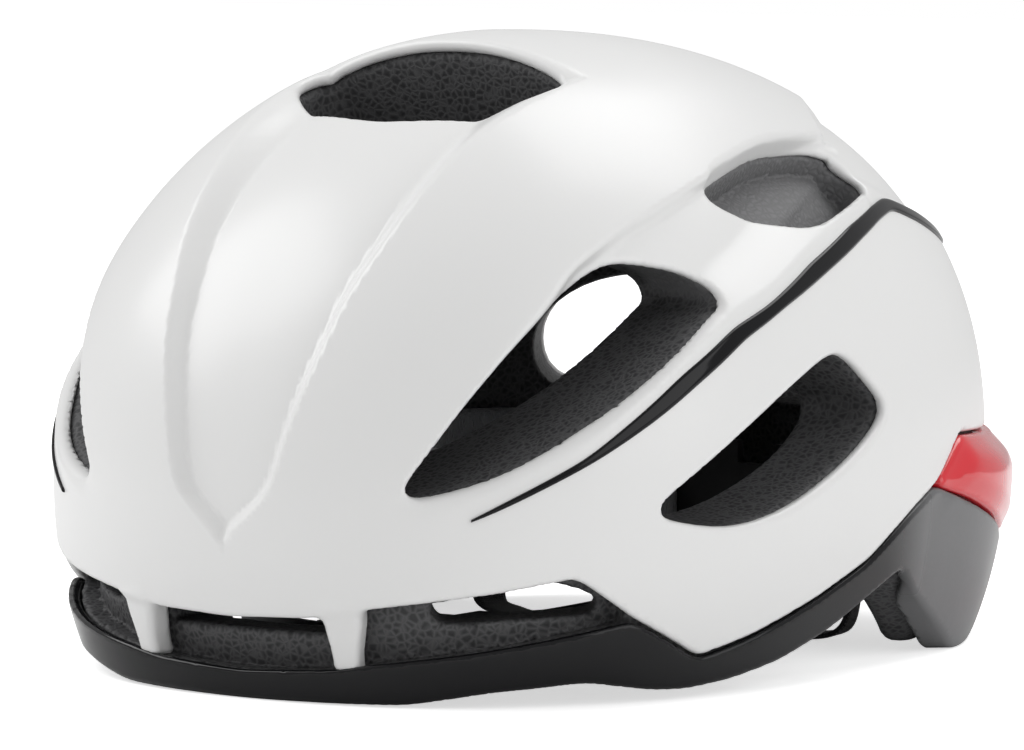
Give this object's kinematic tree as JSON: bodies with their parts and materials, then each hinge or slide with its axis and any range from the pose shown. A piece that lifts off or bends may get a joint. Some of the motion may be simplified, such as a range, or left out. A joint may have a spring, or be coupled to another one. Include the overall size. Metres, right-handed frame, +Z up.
{
  "type": "cycling helmet",
  "caption": "Road cycling helmet with a white outer shell over charcoal foam, black lower shell, red rear insert, dial-adjusted head ring and chin straps.",
  "frame": {"origin": "centre of the footprint, on the surface that the helmet stands on", "axes": "+Z up, the nose points to -Y, +X is the wearer's left"},
  "size_m": [0.206, 0.2858, 0.1632],
  "materials": {
    "white_shell": "moulded-on polycarbonate shell, gloss pearl white",
    "black_shell": "moulded-on polycarbonate lower shell, gloss black",
    "foam": "expanded polystyrene beads, charcoal",
    "trim_gloss": "gloss black trim film",
    "red_insert": "gloss red rear insert",
    "pad_fabric": "brushed knit over foam, pale grey",
    "hook_fabric": "hook tape, black",
    "band_plastic": "flexible nylon band, satin",
    "dark_plastic": "moulded nylon, fine texture",
    "knob_plastic": "grippy over-moulded knob",
    "gear_plastic": "natural acetal",
    "steel": "stainless steel",
    "webbing": "woven polyester webbing, black"
  },
  "bodies": {
    "helmet": {"outer_shell": "white_shell", "lower_shell": "black_shell", "foam_liner": "foam", "left_stripe": "trim_gloss", "right_stripe": "trim_gloss", "rear_insert": "red_insert", "brow_pad": "pad_fabric", "crown_pad": "pad_fabric", "left_side_pad": "pad_fabric", "right_side_pad": "pad_fabric", "left_rear_pad": "pad_fabric", "right_rear_pad": "pad_fabric", "pad_fasteners": "hook_fabric", "front_band": "band_plastic", "front_band_pins": "dark_plastic", "height_track": "dark_plastic", "track_pins": "dark_plastic", "strap_anchors": "dark_plastic", "left_front_strap": "webbing", "left_rear_strap": "webbing", "right_front_strap": "webbing", "right_rear_strap": "webbing", "left_divider": "dark_plastic", "right_divider": "dark_plastic", "lever_pins": "steel", "right_chin_strap": "webbing", "buckle_socket": "dark_plastic", "chin_pad": "pad_fabric"},
    "cradle": {"hanger": "band_plastic", "cradle": "dark_plastic", "cradle_pads": "pad_fabric", "dial_housing": "dark_plastic", "housing_screws": "steel"},
    "dial": {"dial_pinion": "gear_plastic", "dial_knob": "knob_plastic", "click_spring": "steel", "dial_screw": "steel"},
    "left_band": {"left_band": "band_plastic"},
    "right_band": {"right_band": "band_plastic"},
    "left_lever": {"left_lever": "dark_plastic"},
    "right_lever": {"right_lever": "dark_plastic"},
    "buckle_plug": {"buckle_plug": "dark_plastic", "left_chin_strap": "webbing"}
  },
  "joints": [
    {"name": "cradle_height", "type": "slide", "parent": "helmet", "child": "cradle", "axis": [0, 0, 1], "range_m": [-0.012, 0.002]},
    {"name": "dial_turn", "type": "hinge", "parent": "cradle", "child": "dial", "pos_m": [0, 0.086, 0.028], "axis": [0, 1, 0], "range_deg": [-126, 126]},
    {"name": "left_band_slide", "type": "hinge", "parent": "cradle", "child": "left_band", "pos_m": [0, 0.016, 0.028], "axis": [0, 0, 1], "range_deg": [-9.01, 9.01]},
    {"name": "right_band_slide", "type": "hinge", "parent": "cradle", "child": "right_band", "pos_m": [0, 0.016, 0.028], "axis": [0, 0, 1], "range_deg": [-9.01, 9.01]},
    {"name": "left_lever_turn", "type": "hinge", "parent": "helmet", "child": "left_lever", "pos_m": [0.05, -0.009, 0.0065], "axis": [1, 0, 0], "range_deg": [0, 100]},
    {"name": "right_lever_turn", "type": "hinge", "parent": "helmet", "child": "right_lever", "pos_m": [-0.05, -0.009, 0.0065], "axis": [1, 0, 0], "range_deg": [0, 100]},
    {"name": "buckle_release", "type": "slide", "parent": "helmet", "child": "buckle_plug", "axis": [1, 0, 0], "range_m": [0, 0.018]}
  ],
  "couplings": [
    {"joint": "left_band_slide", "follows": "dial_turn", "ratio": -0.071429},
    {"joint": "right_band_slide", "follows": "dial_turn", "ratio": 0.071429}
  ]
}
